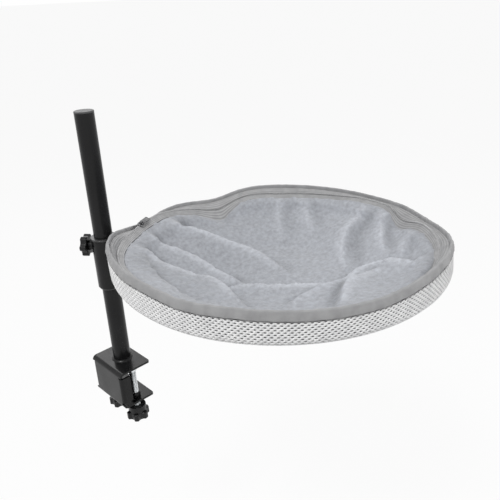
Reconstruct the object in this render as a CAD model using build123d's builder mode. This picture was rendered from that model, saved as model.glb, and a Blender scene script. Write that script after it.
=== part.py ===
from build123d import *
import os
from math import atan2, cos, pi, radians, sin, tan

os.makedirs("parts", exist_ok=True)

# Desk cat bed. Millimetres, +Z up. The origin is on the pole's axis, in the plane of the
# desk's top. +X runs from the clamp's web into the desk, +Y along the desk's edge.

# One overrun serves all cuts that must pass right through
overrun = 2.0

# Clamp bracket: one steel sheet bent to a U, with a flange folded in at each side of the web
sheet = 3.0
clamp_width = 71.0
clamp_height = 57.5
web_offset = 27.5
jaw_reach = 21.5
jaw_bend = 6.0
jaw_corner = 3.0
flange_depth = 15.3
flange_bend = 5.0
flange_relief = 3.0

# Rubber pad under the upper jaw
pad_thickness = 1.5
pad_inset = 3.0
pad_corner = 2.0

# Clamp screws, their bosses, swivel pads and star knobs
screw_offset = -1.0
screw_spacing = 46.0
screw_radius = 5.0
screw_run_clearance = 0.05
jaw_hole_clearance = 0.4
boss_radius = 7.0
boss_height = 8.0
boss_chamfer = 1.0
swivel_radius = 6.5
swivel_thickness = 3.5
swivel_gap = 2.5
swivel_edge = 0.6
tip_radius = 3.0
tip_length = 2.3
tip_socket_depth = 2.5
tip_run_clearance = 0.08
screw_shoulder_gap = 0.3
screw_head_flats = 17.0
screw_head_height = 6.4
knob_radius = 16.0
knob_skirt_height = 10.5
knob_hub_radius = 12.5
knob_hub_height = 10.0
knob_foot = 31.0
knob_edge = 1.2
knob_head_depth = 7.0
knob_lobes = 6
knob_valley_share = 0.40
knob_valley_depth_share = 0.21
knob_lobe_round_share = 0.12
knob_turn_right = 46.8
knob_turn_left = 31.8

# Pole: a steel tube welded upright on the upper jaw, with a plug in its top
pole_radius = 12.0
pole_wall = 1.5
pole_height = 346.5
weld_leg = 2.4
cap_thickness = 2.0
cap_edge = 0.8
cap_plug_depth = 12.0
cap_plug_clearance = 0.1

# Sleeve that slides and turns on the pole, on two flanged bushes
sleeve_foot = 116.0
sleeve_over_arm = 2.7
sleeve_wall = 1.94
sleeve_edge = 0.8
bush_run_clearance = 0.08
bush_wall = 1.92
bush_seat_clearance = 0.06
bush_length_upper = 5.5
bush_length_lower = 12.0
bush_neck = 0.8
bush_neck_inset = 0.8
bush_lip = 2.2
bush_lip_overhang = 0.8
bush_foot = 2.0
bush_foot_inset = 1.4

# Lock screw through the sleeve's side, opposite the bed
lock_drop = 10.0
lock_radius = 4.0
lock_run_clearance = 0.05
lock_tip_radius = 3.5
lock_tip_gap = 0.1
lock_tip_length = 2.5
lock_joint_gap = 0.1
lock_boss_radius = 6.5
lock_boss_length = 4.0
lock_knob_radius = 14.5
lock_knob_gap = 0.5
lock_knob_height = 10.0
lock_hub_radius = 8.0
lock_hub_height = 1.5
lock_screw_inset = 2.5

# Bed: its direction from the pole, and the steel hoop in its lower edge
bed_angle = -53.0
band_foot = 160.0
band_radius = 204.0
band_thickness = 3.0
band_seam_height = 28.2
band_lean = 2.5
hoop_tube = 7.0
hoop_wall = 1.0
hoop_gap = 0.3
hoop_side_gap = 0.9
hoop_vent_radius = 1.5
band_curl = 8.0
band_foot_width = 17.4

# Arm: a box tube between the sleeve and the hoop, and the gap that it bridges outside the band
arm_gap = 10.0
arm_width = 24.0
arm_height = 20.0
arm_wall = 2.0
arm_corner = 3.0
arm_slot_gap = 1.0

# Rim: binding over the seam, and the zip inside it
binding_height = 10.3
binding_lean = 1.4
tape_drop = 2.8
tape_seat_gap = 0.4
tape_width = 7.0
tape_thickness = 1.0
tape_slope = 27.0
coil_radius = 1.4
coil_gap = 0.4
rim_roll_share = 0.45

# Zip slider and its pull
slider_angle = 172.7
slider_length = 9.0
slider_width = 7.2
slider_thickness = 1.6
slider_gap = 0.3
slider_corner = 2.5
slider_edge = 0.5
bridge_width = 1.8
bridge_length = 6.0
bridge_height = 3.0
bridge_bar = 0.9
pull_pivot = 1.2
pull_bar = 0.55
pull_length = 22.0
pull_width = 6.0
pull_thickness = 1.0
pull_slot_width = 3.2
pull_slot_reach = 3.9
pull_tilt = 4.5
pull_corner = 2.0
pull_eye = 1.4

# Soft bowl: the plush liner, sewn from a floor, a sloping ring and a side strip, and the mesh
# hammock under it
liner_gap = 1.3
liner_rim_drop = 11.9
liner_wall_drop = 43.0
liner_floor_radius = 100.0
liner_depth = 76.0
liner_wall_round = 22.0
liner_floor_round = 80.0
liner_thickness = 11.0
liner_edge_share = 0.4
hammock_gap = 0.8
hammock_thickness = 2.0

# Main folds of the plush. Each is a row of points: how far away from the pole and how far to the
# side of the bowl's centre, and how wide, as shares of the liner's radius, then how high above the
# bowl, as a share of the liner's thickness. The ends dip into the plush.
fold_sink_share = 0.3
fold_shares = (
    ((-0.78, 0.38, 0.16, -0.2), (-0.66, 0.42, 0.24, 1.0),
     (-0.46, 0.35, 0.27, 1.2), (-0.24, 0.20, 0.16, -0.1)),
    ((-0.82, 0.13, 0.14, -0.2), (-0.70, 0.13, 0.21, 1.0),
     (-0.52, 0.07, 0.22, 1.1), (-0.26, -0.14, 0.14, -0.2)),
    ((-0.84, -0.08, 0.14, -0.2), (-0.72, -0.12, 0.22, 1.1),
     (-0.52, -0.22, 0.24, 1.2), (-0.32, -0.38, 0.14, -0.1)),
    ((-0.26, -0.28, 0.14, -0.2), (0.08, -0.22, 0.20, 0.9),
     (0.38, -0.15, 0.22, 1.1), (0.74, 0.04, 0.16, -0.2)),
    ((0.42, -0.50, 0.16, -0.2), (0.56, -0.32, 0.28, 1.3),
     (0.72, -0.16, 0.26, 1.1), (0.80, -0.06, 0.14, -0.2)),
    ((0.66, 0.50, 0.14, -0.2), (0.62, 0.38, 0.22, 1.1),
     (0.58, 0.20, 0.22, 1.0), (0.54, 0.06, 0.14, -0.2)),
    ((0.46, 0.66, 0.14, -0.2), (0.42, 0.52, 0.22, 0.9),
     (0.38, 0.36, 0.20, 0.8), (0.36, 0.20, 0.12, -0.2)),
)

# Heights worked out from the sizes above
jaw_under = pad_thickness
jaw_top = jaw_under + sheet
clamp_foot = jaw_top - clamp_height
lower_jaw_top = clamp_foot + sheet
jaw_depth = web_offset + jaw_reach
swivel_top = -swivel_gap
swivel_foot = swivel_top - swivel_thickness
knob_bottom = clamp_foot - knob_foot
knob_shoulder = knob_bottom + knob_skirt_height
knob_top = knob_shoulder + knob_hub_height
pole_tube_top = jaw_top + pole_height - cap_thickness
band_base = jaw_top + band_foot
hoop_level = band_base + band_thickness + hoop_gap + hoop_tube
seam_level = band_base + band_seam_height
rim_level = seam_level + binding_height
screw_places = (
    ("right", -screw_spacing / 2, knob_turn_right),
    ("left", screw_spacing / 2, knob_turn_left),
)

# Sleeve and bush radii, each from the piece inside it
bush_bore = pole_radius + bush_run_clearance
bush_radius = bush_bore + bush_wall
sleeve_bore = bush_radius + bush_seat_clearance
sleeve_radius = sleeve_bore + sleeve_wall
sleeve_base = jaw_top + sleeve_foot
sleeve_top = hoop_level + arm_height / 2 + sleeve_over_arm
sleeve_length = sleeve_top - sleeve_base
lock_level = sleeve_top - lock_drop
lock_tip_start = pole_radius + lock_tip_gap
lock_tip_end = lock_tip_start + lock_tip_length
lock_boss_end = sleeve_radius + lock_boss_length
lock_knob_start = lock_boss_end + lock_knob_gap
lock_knob_end = lock_knob_start + lock_knob_height

# Frames: the bed's own plane, its upright section, and the lock screw's plane
bed_reach = sleeve_radius + arm_gap + band_radius
bed_way = Vector(cos(radians(bed_angle)), sin(radians(bed_angle)), 0)
bed_side = Vector(-sin(radians(bed_angle)), cos(radians(bed_angle)), 0)
bed_centre = bed_way * bed_reach
bed_axis = Axis(bed_centre, Vector(0, 0, 1))
bed_section = Plane(origin=bed_centre, x_dir=bed_way, z_dir=-bed_side)
arm_plane = Plane(origin=(0, 0, 0), x_dir=bed_side, z_dir=bed_way)
lock_plane = Plane(origin=(0, 0, lock_level), x_dir=bed_side, z_dir=-bed_way)

# Radii of the rim's pieces, and the plane of the hoop's vent hole
seam_radius = band_radius - band_lean
rim_radius = seam_radius - binding_lean
hoop_ring = band_radius - band_thickness - hoop_side_gap - hoop_tube
band_foot_inner = band_radius - band_foot_width
vent_plane = Plane(
    origin=bed_centre - bed_way * hoop_ring + Vector(0, 0, hoop_level), z_dir=-bed_way
)

# Zip: it starts at the binding's inner face and slopes down into the bowl
tape_level = rim_level - tape_drop
tape_start = rim_radius - band_thickness + binding_lean * tape_drop / binding_height - tape_seat_gap
coil_place = tape_width + coil_gap + coil_radius


def zip_place(distance):
    """Radius and height of a point on the zip's slope, at a distance from the tape's outer edge."""
    fall = radians(tape_slope)
    return (tape_start - distance * cos(fall), tape_level - distance * sin(fall))


# Slider's plane: on top of the coil, with its length along the zip, towards the zip's end
slider_heading = radians(bed_angle + slider_angle)
slider_out = Vector(cos(slider_heading), sin(slider_heading), 0)
slider_along = Vector(sin(slider_heading), -cos(slider_heading), 0)
slider_up = Vector(0, 0, cos(radians(tape_slope))) - slider_out * sin(radians(tape_slope))
coil_ring, coil_level = zip_place(coil_place)
slider_plane = Plane(
    origin=bed_centre
    + slider_out * coil_ring
    + Vector(0, 0, coil_level)
    + slider_up * (coil_radius + slider_gap),
    x_dir=slider_along,
    z_dir=slider_up,
)
pull_lean = radians(pull_tilt)
pull_plane = Plane(
    origin=slider_plane.offset(slider_thickness + pull_pivot).origin,
    x_dir=slider_along * cos(pull_lean) - slider_up * sin(pull_lean),
    z_dir=slider_along * sin(pull_lean) + slider_up * cos(pull_lean),
)
pull_bar_plane = Plane(origin=pull_plane.origin, x_dir=pull_plane.x_dir, z_dir=pull_plane.y_dir)


# Bowl: the level of the wall's foot and of the floor, the slope between them, and its two seams. The
# round floor panel ends where the slope begins, and the side strip begins above the wall's bend.
liner_radius = hoop_ring - hoop_tube - liner_gap
wall_foot = rim_level - liner_wall_drop
floor_level = rim_level - liner_depth
bowl_slope = atan2(wall_foot - floor_level, liner_radius - liner_floor_radius)
panel_radius = liner_floor_radius + liner_floor_round * tan(bowl_slope / 2)
side_foot = wall_foot + liner_wall_round * tan((pi / 2 - bowl_slope) / 2)


def bowl_line(inset):
    """Half section of a bowl inset from the liner's outside: wall, slope and floor, with round bends."""
    wall_shift = inset * (1 / cos(bowl_slope) - tan(bowl_slope))
    floor_shift = inset * (1 - 1 / cos(bowl_slope)) / tan(bowl_slope)
    return FilletPolyline(
        (liner_radius - inset, rim_level - liner_rim_drop),
        (liner_radius - inset, wall_foot + wall_shift),
        (liner_floor_radius + floor_shift, floor_level + inset),
        (0, floor_level + inset),
        radius=(liner_wall_round - inset, liner_floor_round - inset),
    )


def plush_level(radius):
    """Height of the plush at a radius from the bowl's centre: the floor, or the slope above it."""
    on_slope = wall_foot + (radius - liner_radius) * tan(bowl_slope) + liner_thickness / cos(bowl_slope)
    return max(floor_level + liner_thickness, on_slope)


def fold_ridge(points):
    """One fold of the plush: a loft through low arches that stand across its row of points."""
    up = Vector(0, 0, 1)
    with BuildPart() as ridge:
        for number, (away, aside, width_share, height_share) in enumerate(points):
            before = points[max(number - 1, 0)]
            after = points[min(number + 1, len(points) - 1)]
            heading = (bed_way * (after[0] - before[0]) + bed_side * (after[1] - before[1])).normalized()
            offset_from_centre = (bed_way * away + bed_side * aside) * liner_radius
            level = plush_level(offset_from_centre.length)
            across = up.cross(heading)
            if level > floor_level + liner_thickness:
                across += up * tan(bowl_slope) * across.dot(offset_from_centre.normalized())
            half_width = liner_radius * width_share / 2
            foot = bed_centre + offset_from_centre + up * level
            with BuildSketch(Plane(origin=foot, x_dir=across, z_dir=heading)):
                with BuildLine():
                    arch = ThreePointArc(
                        (-half_width, -liner_thickness * fold_sink_share),
                        (0, liner_thickness * height_share),
                        (half_width, -liner_thickness * fold_sink_share),
                    )
                    Line(arch @ 1, arch @ 0)
                make_face()
        loft()
    return ridge.part


def star_knob(plane, radius, skirt, hub_radius, hub, turn):
    """A star knob that stands on a plane: a scalloped skirt with a round hub on top of it."""
    valley = radius * knob_valley_share
    valley_place = radius * (1 - knob_valley_depth_share) + valley
    up = Axis(plane.origin, plane.z_dir)
    with BuildPart() as knob:
        with BuildSketch(plane) as star:
            Circle(radius)
            with PolarLocations(valley_place, knob_lobes, start_angle=turn + 180 / knob_lobes):
                Circle(valley, mode=Mode.SUBTRACT)
            fillet(star.vertices(), radius * knob_lobe_round_share)
        extrude(amount=skirt)
        fillet(knob.faces().sort_by(up)[0].edges() + knob.faces().sort_by(up)[-1].edges(), knob_edge)
        with BuildSketch(plane.offset(skirt)):
            Circle(hub_radius)
        extrude(amount=hub)
        fillet(knob.faces().sort_by(up)[-1].edges(), knob_edge)
    return knob.part


# Clamp bracket
with BuildPart() as clamp_bracket:
    with BuildSketch(Plane.XZ) as side_view:
        with Locations((-web_offset, jaw_top)):
            Rectangle(jaw_depth, clamp_height, align=(Align.MIN, Align.MAX))
        fillet(side_view.vertices().group_by(Axis.X)[0], jaw_bend)
        with Locations((sheet - web_offset, jaw_under)):
            Rectangle(
                jaw_depth, clamp_height - 2 * sheet, align=(Align.MIN, Align.MAX), mode=Mode.SUBTRACT
            )
        fillet(side_view.vertices().group_by(Axis.X)[1], jaw_bend - sheet)
    extrude(amount=clamp_width / 2, both=True)
    fillet(clamp_bracket.edges().filter_by(Axis.Z).group_by(Axis.X)[-1], jaw_corner)
    flange_top = jaw_top - jaw_bend - flange_relief
    flange_foot = clamp_foot + jaw_bend + flange_relief
    with BuildSketch(Plane.XY.offset(flange_foot - flange_relief)):
        with Locations((-web_offset, -clamp_width / 2), (-web_offset, clamp_width / 2)):
            Rectangle(2 * flange_bend, 2 * flange_bend)
    extrude(amount=flange_top - flange_foot + 2 * flange_relief, mode=Mode.SUBTRACT)
    with BuildSketch(Plane.XY.offset(flange_foot)) as flanges:
        with Locations((-web_offset, 0)):
            Rectangle(flange_depth, clamp_width, align=(Align.MIN, Align.CENTER))
        fillet(flanges.vertices().group_by(Axis.X)[0], flange_bend)
        with Locations((sheet - web_offset, 0)):
            Rectangle(
                flange_depth,
                clamp_width - 2 * sheet,
                align=(Align.MIN, Align.CENTER),
                mode=Mode.SUBTRACT,
            )
        fillet(flanges.vertices().group_by(Axis.X)[1], flange_bend - sheet)
    extrude(amount=flange_top - flange_foot)
    with Locations((screw_offset, 0, lower_jaw_top)):
        with GridLocations(0, screw_spacing, 1, 2):
            Hole(screw_radius + jaw_hole_clearance, depth=sheet + overrun)
clamp_bracket.part.label = "clamp_bracket"
export_step(clamp_bracket.part, "parts/clamp_bracket.step")

# Rubber pad glued under the upper jaw
with BuildPart() as jaw_pad:
    with BuildSketch(Plane.XY):
        with Locations(((jaw_reach - web_offset + sheet) / 2, 0)):
            RectangleRounded(
                jaw_depth - sheet - 2 * pad_inset, clamp_width - 2 * pad_inset, pad_corner
            )
    extrude(amount=pad_thickness)
jaw_pad.part.label = "jaw_pad"
export_step(jaw_pad.part, "parts/jaw_pad.step")

# Threaded bosses welded on the lower jaw
with BuildPart() as thread_bosses:
    with BuildSketch(Plane.XY.offset(lower_jaw_top)):
        with Locations((screw_offset, 0)):
            with GridLocations(0, screw_spacing, 1, 2):
                Circle(boss_radius)
                Circle(screw_radius + screw_run_clearance, mode=Mode.SUBTRACT)
    extrude(amount=boss_height)
    boss_rims = thread_bosses.edges().filter_by(GeomType.CIRCLE).group_by(Axis.Z)[-1]
    chamfer(boss_rims.group_by(SortBy.RADIUS)[-1], boss_chamfer)
thread_bosses.part.label = "thread_bosses"
export_step(thread_bosses.part, "parts/thread_bosses.step")

# Clamp screws, star knobs and swivel pads, one set on each side
for side, place, turn in screw_places:
    knob_plane = Plane(origin=(screw_offset, place, knob_bottom))
    swivel_plane = Plane(origin=(screw_offset, place, swivel_foot))

    with BuildPart() as pressure_pad:
        with BuildSketch(swivel_plane):
            Circle(swivel_radius)
        extrude(amount=swivel_thickness)
        fillet(pressure_pad.edges(), swivel_edge)
        with BuildSketch(swivel_plane):
            Circle(tip_radius + tip_run_clearance)
        extrude(amount=tip_socket_depth, mode=Mode.SUBTRACT)
    pressure_pad.part.label = f"pressure_pad_{side}"
    export_step(pressure_pad.part, f"parts/pressure_pad_{side}.step")

    with BuildPart() as clamp_screw:
        head_plane = knob_plane.offset(knob_head_depth - screw_head_height)
        with BuildSketch(head_plane):
            RegularPolygon(screw_head_flats / 2, 6, major_radius=False)
        extrude(amount=screw_head_height)
        with BuildSketch(head_plane):
            Circle(screw_radius)
        extrude(amount=swivel_foot - screw_shoulder_gap - head_plane.origin.Z)
        with BuildSketch(swivel_plane.offset(-screw_shoulder_gap)):
            Circle(tip_radius)
        extrude(amount=tip_length)
    clamp_screw.part.label = f"clamp_screw_{side}"
    export_step(clamp_screw.part, f"parts/clamp_screw_{side}.step")

    with BuildPart() as clamp_knob:
        add(star_knob(knob_plane, knob_radius, knob_skirt_height, knob_hub_radius, knob_hub_height, turn))
        with BuildSketch(knob_plane):
            RegularPolygon(screw_head_flats / 2, 6, major_radius=False)
        extrude(amount=knob_head_depth, mode=Mode.SUBTRACT)
        with BuildSketch(knob_plane):
            Circle(screw_radius)
        extrude(amount=knob_top - knob_bottom + overrun, mode=Mode.SUBTRACT)
    clamp_knob.part.label = f"clamp_knob_{side}"
    export_step(clamp_knob.part, f"parts/clamp_knob_{side}.step")

# Pole, with the weld bead round its foot and the plug in its top
with BuildPart() as pole:
    with BuildSketch(Plane.XY.offset(jaw_top)):
        Circle(pole_radius)
        Circle(pole_radius - pole_wall, mode=Mode.SUBTRACT)
    extrude(amount=pole_tube_top - jaw_top)
pole.part.label = "pole"
export_step(pole.part, "parts/pole.step")

with BuildPart() as pole_weld:
    with BuildSketch(Plane.XZ):
        with BuildLine():
            Line((pole_radius, jaw_top), (pole_radius + weld_leg, jaw_top))
            RadiusArc((pole_radius + weld_leg, jaw_top), (pole_radius, jaw_top + weld_leg), -2 * weld_leg)
            Line((pole_radius, jaw_top + weld_leg), (pole_radius, jaw_top))
        make_face()
    revolve(axis=Axis.Z)
pole_weld.part.label = "pole_weld"
export_step(pole_weld.part, "parts/pole_weld.step")

with BuildPart() as pole_cap:
    with BuildSketch(Plane.XY.offset(pole_tube_top)):
        Circle(pole_radius)
    extrude(amount=cap_thickness)
    fillet(pole_cap.edges().group_by(Axis.Z)[-1], cap_edge)
    with BuildSketch(Plane.XY.offset(pole_tube_top)):
        Circle(pole_radius - pole_wall - cap_plug_clearance)
    extrude(amount=-cap_plug_depth)
pole_cap.part.label = "pole_cap"
export_step(pole_cap.part, "parts/pole_cap.step")

# Bushes: each a plastic sleeve with a flange outside the steel one
with BuildPart() as sleeve_bush_upper:
    with BuildSketch(Plane.XY.offset(sleeve_top - bush_length_upper)):
        Circle(bush_radius)
    extrude(amount=bush_length_upper)
    with BuildSketch(Plane.XY.offset(sleeve_top)):
        Circle(sleeve_radius - bush_neck_inset)
    extrude(amount=bush_neck)
    with BuildSketch(Plane.XY.offset(sleeve_top + bush_neck)):
        Circle(sleeve_radius + bush_lip_overhang)
    extrude(amount=bush_lip)
    fillet(sleeve_bush_upper.edges().group_by(Axis.Z)[-1], bush_neck_inset)
    with BuildSketch(Plane.XY.offset(sleeve_top - bush_length_upper)):
        Circle(bush_bore)
    extrude(amount=bush_length_upper + bush_neck + bush_lip + overrun, mode=Mode.SUBTRACT)
sleeve_bush_upper.part.label = "sleeve_bush_upper"
export_step(sleeve_bush_upper.part, "parts/sleeve_bush_upper.step")

with BuildPart() as sleeve_bush_lower:
    with BuildSketch(Plane.XY.offset(sleeve_base)):
        Circle(bush_radius)
    extrude(amount=bush_length_lower)
    with BuildSketch(Plane.XY.offset(sleeve_base)):
        Circle(sleeve_radius - bush_foot_inset)
    extrude(amount=-bush_foot)
    fillet(sleeve_bush_lower.edges().group_by(Axis.Z)[0], bush_neck_inset)
    with BuildSketch(Plane.XY.offset(sleeve_base - bush_foot)):
        Circle(bush_bore)
    extrude(amount=bush_foot + bush_length_lower + overrun, mode=Mode.SUBTRACT)
sleeve_bush_lower.part.label = "sleeve_bush_lower"
export_step(sleeve_bush_lower.part, "parts/sleeve_bush_lower.step")

# Sleeve: a steel tube with a cross hole for the lock screw
with BuildPart() as sleeve:
    with BuildSketch(Plane.XY.offset(sleeve_base)):
        Circle(sleeve_radius)
    extrude(amount=sleeve_length)
    fillet(sleeve.edges().group_by(Axis.Z)[0], sleeve_edge)
    with BuildSketch(Plane.XY.offset(sleeve_base)):
        Circle(sleeve_bore)
    extrude(amount=sleeve_length + overrun, mode=Mode.SUBTRACT)
    with BuildSketch(lock_plane):
        Circle(lock_radius + lock_run_clearance)
    extrude(amount=sleeve_radius + overrun, mode=Mode.SUBTRACT)
sleeve.part.label = "sleeve"
export_step(sleeve.part, "parts/sleeve.step")

# Lock screw's boss, coped to the sleeve
with BuildPart() as lock_boss:
    with BuildSketch(lock_plane.offset(sleeve_bore)):
        Circle(lock_boss_radius)
    extrude(amount=lock_boss_end - sleeve_bore)
    with BuildSketch(Plane.XY.offset(sleeve_base)):
        Circle(sleeve_radius)
    extrude(amount=sleeve_length, mode=Mode.SUBTRACT)
    with BuildSketch(lock_plane):
        Circle(lock_radius + lock_run_clearance)
    extrude(amount=lock_boss_end + overrun, mode=Mode.SUBTRACT)
lock_boss.part.label = "lock_boss"
export_step(lock_boss.part, "parts/lock_boss.step")

# Lock screw, its tip and its knob
with BuildPart() as lock_tip:
    with BuildSketch(lock_plane.offset(lock_tip_start)):
        Circle(lock_tip_radius)
    extrude(amount=lock_tip_length)
lock_tip.part.label = "lock_tip"
export_step(lock_tip.part, "parts/lock_tip.step")

with BuildPart() as lock_screw:
    with BuildSketch(lock_plane.offset(lock_tip_end + lock_joint_gap)):
        Circle(lock_radius)
    extrude(amount=lock_knob_end - lock_screw_inset - lock_tip_end - lock_joint_gap)
lock_screw.part.label = "lock_screw"
export_step(lock_screw.part, "parts/lock_screw.step")

with BuildPart() as lock_knob:
    add(
        star_knob(
            lock_plane.offset(lock_knob_start),
            lock_knob_radius,
            lock_knob_height - lock_hub_height,
            lock_hub_radius,
            lock_hub_height,
            0,
        )
    )
    with BuildSketch(lock_plane.offset(lock_knob_start)):
        Circle(lock_radius)
    extrude(amount=lock_knob_height - lock_screw_inset, mode=Mode.SUBTRACT)
lock_knob.part.label = "lock_knob"
export_step(lock_knob.part, "parts/lock_knob.step")

# Hoop: a steel tube bent to a ring, with a vent hole inside the arm's mouth
with BuildPart() as hoop:
    with BuildSketch(bed_section):
        with Locations((hoop_ring, hoop_level)):
            Circle(hoop_tube)
            Circle(hoop_tube - hoop_wall, mode=Mode.SUBTRACT)
    revolve(axis=bed_axis)
    with BuildSketch(vent_plane):
        Circle(hoop_vent_radius)
    extrude(amount=hoop_tube + overrun, mode=Mode.SUBTRACT)
hoop.part.label = "hoop"
export_step(hoop.part, "parts/hoop.step")

# Arm: a box tube, coped to the sleeve at one end and to the hoop at the other
with BuildPart() as arm:
    with BuildSketch(arm_plane):
        with Locations((0, hoop_level)):
            RectangleRounded(arm_width, arm_height, arm_corner)
            RectangleRounded(
                arm_width - 2 * arm_wall,
                arm_height - 2 * arm_wall,
                arm_corner - arm_wall,
                mode=Mode.SUBTRACT,
            )
    extrude(amount=bed_reach - hoop_ring)
    with BuildSketch(Plane.XY.offset(sleeve_base)):
        Circle(sleeve_radius)
    extrude(amount=sleeve_length, mode=Mode.SUBTRACT)
    with BuildSketch(bed_section):
        with Locations((hoop_ring, hoop_level)):
            Circle(hoop_tube)
    revolve(axis=bed_axis, mode=Mode.SUBTRACT)
arm.part.label = "arm"
export_step(arm.part, "parts/arm.step")

# Mesh band round the hoop, with its lower edge curled in under it and a slot for the arm
with BuildPart() as mesh_band:
    with BuildSketch(bed_section):
        with BuildLine():
            band_outside = FilletPolyline(
                (band_foot_inner, band_base),
                (band_radius, band_base),
                (seam_radius, seam_level),
                radius=band_curl,
            )
            band_inside = FilletPolyline(
                (band_foot_inner, band_base + band_thickness),
                (band_radius - band_thickness, band_base + band_thickness),
                (seam_radius - band_thickness, seam_level),
                radius=band_curl - band_thickness,
            )
            Line(band_outside @ 0, band_inside @ 0)
            Line(band_outside @ 1, band_inside @ 1)
        make_face()
    revolve(axis=bed_axis)
    with BuildSketch(arm_plane.offset(sleeve_radius)):
        with Locations((0, hoop_level + arm_height / 2 + arm_slot_gap)):
            Rectangle(
                arm_width + 2 * arm_slot_gap, band_seam_height, align=(Align.CENTER, Align.MAX)
            )
    extrude(amount=bed_reach - hoop_ring - sleeve_radius + arm_slot_gap, mode=Mode.SUBTRACT)
mesh_band.part.label = "mesh_band"
export_step(mesh_band.part, "parts/mesh_band.step")

# Binding sewn on the band's upper edge
with BuildPart() as rim_binding:
    with BuildSketch(bed_section) as binding_section:
        with BuildLine():
            Polyline(
                (seam_radius - band_thickness, seam_level),
                (seam_radius, seam_level),
                (rim_radius, rim_level),
                (rim_radius - band_thickness, rim_level),
                close=True,
            )
        make_face()
        fillet(binding_section.vertices().group_by(Axis.Y)[-1], band_thickness * rim_roll_share)
    revolve(axis=bed_axis)
rim_binding.part.label = "rim_binding"
export_step(rim_binding.part, "parts/rim_binding.step")

# Zip inside the rim: two tapes with the coil between them
with BuildPart() as zipper_tape_outer:
    with BuildSketch(bed_section):
        with Locations(zip_place(0)):
            Rectangle(tape_width, tape_thickness, tape_slope, align=(Align.MAX, Align.CENTER))
    revolve(axis=bed_axis)
zipper_tape_outer.part.label = "zipper_tape_outer"
export_step(zipper_tape_outer.part, "parts/zipper_tape_outer.step")

with BuildPart() as zipper_coil:
    with BuildSketch(bed_section):
        with Locations(zip_place(coil_place)):
            Circle(coil_radius)
    revolve(axis=bed_axis)
zipper_coil.part.label = "zipper_coil"
export_step(zipper_coil.part, "parts/zipper_coil.step")

with BuildPart() as zipper_tape_inner:
    with BuildSketch(bed_section):
        with Locations(zip_place(coil_place + coil_radius + coil_gap)):
            Rectangle(tape_width, tape_thickness, tape_slope, align=(Align.MAX, Align.CENTER))
    revolve(axis=bed_axis)
zipper_tape_inner.part.label = "zipper_tape_inner"
export_step(zipper_tape_inner.part, "parts/zipper_tape_inner.step")

# Zip slider: a shield with a bridge across its top
with BuildPart() as zipper_slider:
    with BuildSketch(slider_plane):
        RectangleRounded(slider_length, slider_width, slider_corner)
    extrude(amount=slider_thickness)
    fillet(zipper_slider.edges().group_by(Axis(slider_plane.origin, slider_plane.z_dir))[-1], slider_edge)
    with BuildSketch(slider_plane.offset(slider_thickness)):
        Rectangle(bridge_length, bridge_width)
    extrude(amount=bridge_height)
    with BuildSketch(slider_plane.offset(slider_thickness)):
        Rectangle(bridge_length - 2 * bridge_bar, bridge_width)
    extrude(amount=bridge_height - bridge_bar, mode=Mode.SUBTRACT)
zipper_slider.part.label = "zipper_slider"
export_step(zipper_slider.part, "parts/zipper_slider.step")

# Zip pull: a tab whose cross bar turns under the slider's bridge
with BuildPart() as zipper_pull:
    with BuildSketch(pull_plane.offset(-pull_thickness / 2)) as tab:
        RectangleRounded(pull_length, pull_width, pull_corner, align=(Align.MIN, Align.CENTER))
        Rectangle(
            pull_slot_reach, pull_slot_width, align=(Align.MIN, Align.CENTER), mode=Mode.SUBTRACT
        )
        with Locations((pull_length - pull_width / 2, 0)):
            Circle(pull_eye, mode=Mode.SUBTRACT)
    extrude(amount=pull_thickness)
    with BuildSketch(pull_bar_plane):
        Circle(pull_bar)
    extrude(amount=(pull_width + pull_slot_width) / 4, both=True)
zipper_pull.part.label = "zipper_pull"
export_step(zipper_pull.part, "parts/zipper_pull.step")

# Hammock: the mesh cloth that carries the bowl, sewn to the band's curled edge
with BuildPart() as hammock_bottom:
    with BuildSketch(bed_section):
        with BuildLine():
            hammock_top = bowl_line(-hammock_gap)
            hammock_under = bowl_line(-hammock_gap - hammock_thickness)
            Line(hammock_top @ 0, hammock_under @ 0)
            Line(hammock_top @ 1, hammock_under @ 1)
        make_face()
        with Locations((0, band_base + band_thickness)):
            Rectangle(
                band_foot_inner, liner_depth, align=(Align.MIN, Align.MAX), mode=Mode.INTERSECT
            )
    revolve(axis=bed_axis)
hammock_bottom.part.label = "hammock_bottom"
export_step(hammock_bottom.part, "parts/hammock_bottom.step")

# Plush liner: a thick soft bowl with its main folds, that hangs inside the hoop. It is cut here into
# the panels that it is sewn from: a round floor...
with BuildPart() as plush_bowl:
    with BuildSketch(bed_section):
        with BuildLine():
            liner_outside = bowl_line(0)
            liner_inside = bowl_line(liner_thickness)
            Line(liner_outside @ 0, liner_inside @ 0)
            Line(liner_outside @ 1, liner_inside @ 1)
        make_face()
        with Locations((0, side_foot)):
            Rectangle(liner_radius, liner_depth, align=(Align.MIN, Align.MAX), mode=Mode.INTERSECT)
    revolve(axis=bed_axis)
    for fold in fold_shares:
        add(fold_ridge(fold))
floor_plane = Plane(origin=bed_centre + Vector(0, 0, floor_level))
with BuildPart() as plush_floor:
    add(plush_bowl.part)
    with BuildSketch(floor_plane):
        Circle(panel_radius)
    extrude(amount=liner_depth, mode=Mode.INTERSECT)
plush_floor.part.label = "plush_floor"
export_step(plush_floor.part, "parts/plush_floor.step")

# ... a sloping ring round it...
with BuildPart() as plush_slope:
    add(plush_bowl.part)
    with BuildSketch(floor_plane):
        Circle(panel_radius)
    extrude(amount=liner_depth, mode=Mode.SUBTRACT)
plush_slope.part.label = "plush_slope"
export_step(plush_slope.part, "parts/plush_slope.step")

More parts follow.
